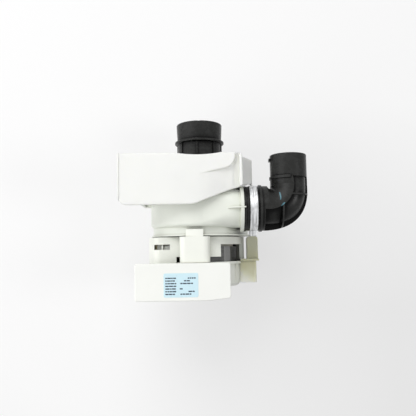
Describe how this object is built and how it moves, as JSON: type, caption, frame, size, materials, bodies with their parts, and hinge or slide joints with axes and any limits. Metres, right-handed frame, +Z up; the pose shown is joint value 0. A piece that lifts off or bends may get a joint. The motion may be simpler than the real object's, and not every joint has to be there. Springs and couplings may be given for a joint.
{
  "type": "dishwasher circulation pump",
  "caption": "Motor-driven circulation pump with a rubber inlet sleeve, a clamped rubber outlet elbow, a drip shield and an electronics case on its motor.",
  "frame": {"origin": "centre of the inlet sleeve's mouth, on the pump axis", "axes": "+Y along the pump axis, out of the inlet mouth; +X towards the outlet side; +Z up, away from the surface the pump lies on"},
  "size_m": [0.1802, 0.1785, 0.1235],
  "materials": {
    "black_rubber": "matt moulded EPDM, faint bloom",
    "seal_rubber": "smooth moulded",
    "foot_rubber": "matt moulded",
    "clamp_steel": "bright cold-rolled strip",
    "screw_steel": "zinc plated",
    "spring_steel": "stainless, drawn",
    "shaft_steel": "ground",
    "bearing_steel": "polished",
    "lamination_steel": "stacked sheets, dark annealed edge",
    "magnet": "sintered ferrite",
    "copper": "enamelled winding wire",
    "pin_brass": "tinned contact pins",
    "pump_plastic": "grey-green moulded polypropylene, slight sheen",
    "shield_plastic": "off-white moulded, satin",
    "motor_plastic": "white moulded polyester",
    "lid_plastic": "off-white moulded, fine grain",
    "impeller_plastic": "glass-filled polypropylene",
    "insulator_plastic": "natural polyester",
    "cage_plastic": "polyamide",
    "black_plastic": "moulded epoxy",
    "capacitor_can": "sleeved can",
    "sink_aluminium": "extruded",
    "board": "solder mask",
    "lead_insulation": "smooth insulated lead",
    "label_film": "pale blue printed film",
    "natural_nylon": "translucent natural polyamide",
    "seal_ceramic": "lapped",
    "seal_carbon": "lapped carbon"
  },
  "bodies": {
    "housing": {"inlet_sleeve": "black_rubber", "inlet_clamp": "clamp_steel", "volute_housing": "pump_plastic", "outlet_elbow": "black_rubber", "outlet_clamp": "clamp_steel", "drip_shield": "shield_plastic", "back_plate": "pump_plastic", "housing_o_ring": "seal_rubber", "seal_seat_cup": "seal_rubber", "seal_seat_ring": "seal_ceramic", "motor_front_shield": "motor_plastic", "motor_rear_housing": "motor_plastic", "motor_screws": "screw_steel", "rubber_feet": "foot_rubber", "stator_core": "lamination_steel", "stator_insulators": "insulator_plastic", "stator_coils": "copper", "front_bearing_outer_ring": "bearing_steel", "rear_bearing_outer_ring": "bearing_steel", "spring_washer": "spring_steel", "electronics_housing": "motor_plastic", "electronics_lid": "lid_plastic", "circuit_board": "board", "board_screws": "screw_steel", "capacitors": "capacitor_can", "power_module": "black_plastic", "heat_sink": "sink_aluminium", "line_choke": "copper", "motor_leads": "lead_insulation", "rating_label": "label_film", "connector_hood": "natural_nylon", "connector_pins": "pin_brass"},
    "rotor": {"impeller_base": "impeller_plastic", "impeller_shroud": "impeller_plastic", "impeller_cap": "impeller_plastic", "seal_face_ring": "seal_carbon", "seal_bellows": "seal_rubber", "seal_spring": "spring_steel", "shaft_slinger": "seal_rubber", "rotor_core": "lamination_steel", "rotor_magnets": "magnet", "motor_shaft": "shaft_steel", "front_bearing_inner_ring": "bearing_steel", "rear_bearing_inner_ring": "bearing_steel"},
    "front_ball_train": {"front_bearing_balls": "bearing_steel", "front_bearing_cage": "cage_plastic"},
    "rear_ball_train": {"rear_bearing_balls": "bearing_steel", "rear_bearing_cage": "cage_plastic"}
  },
  "joints": [
    {"name": "rotor_spin", "type": "hinge", "parent": "housing", "child": "rotor", "pos_m": [0, -0.1, 0], "axis": [0, 1, 0], "continuous": true},
    {"name": "front_balls_orbit", "type": "hinge", "parent": "housing", "child": "front_ball_train", "pos_m": [0, -0.1261, 0], "axis": [0, 1, 0], "continuous": true},
    {"name": "rear_balls_orbit", "type": "hinge", "parent": "housing", "child": "rear_ball_train", "pos_m": [0, -0.1615, 0], "axis": [0, 1, 0], "continuous": true}
  ],
  "couplings": [
    {"joint": "front_balls_orbit", "follows": "rotor_spin", "ratio": 0.3686},
    {"joint": "rear_balls_orbit", "follows": "rotor_spin", "ratio": 0.3686}
  ]
}
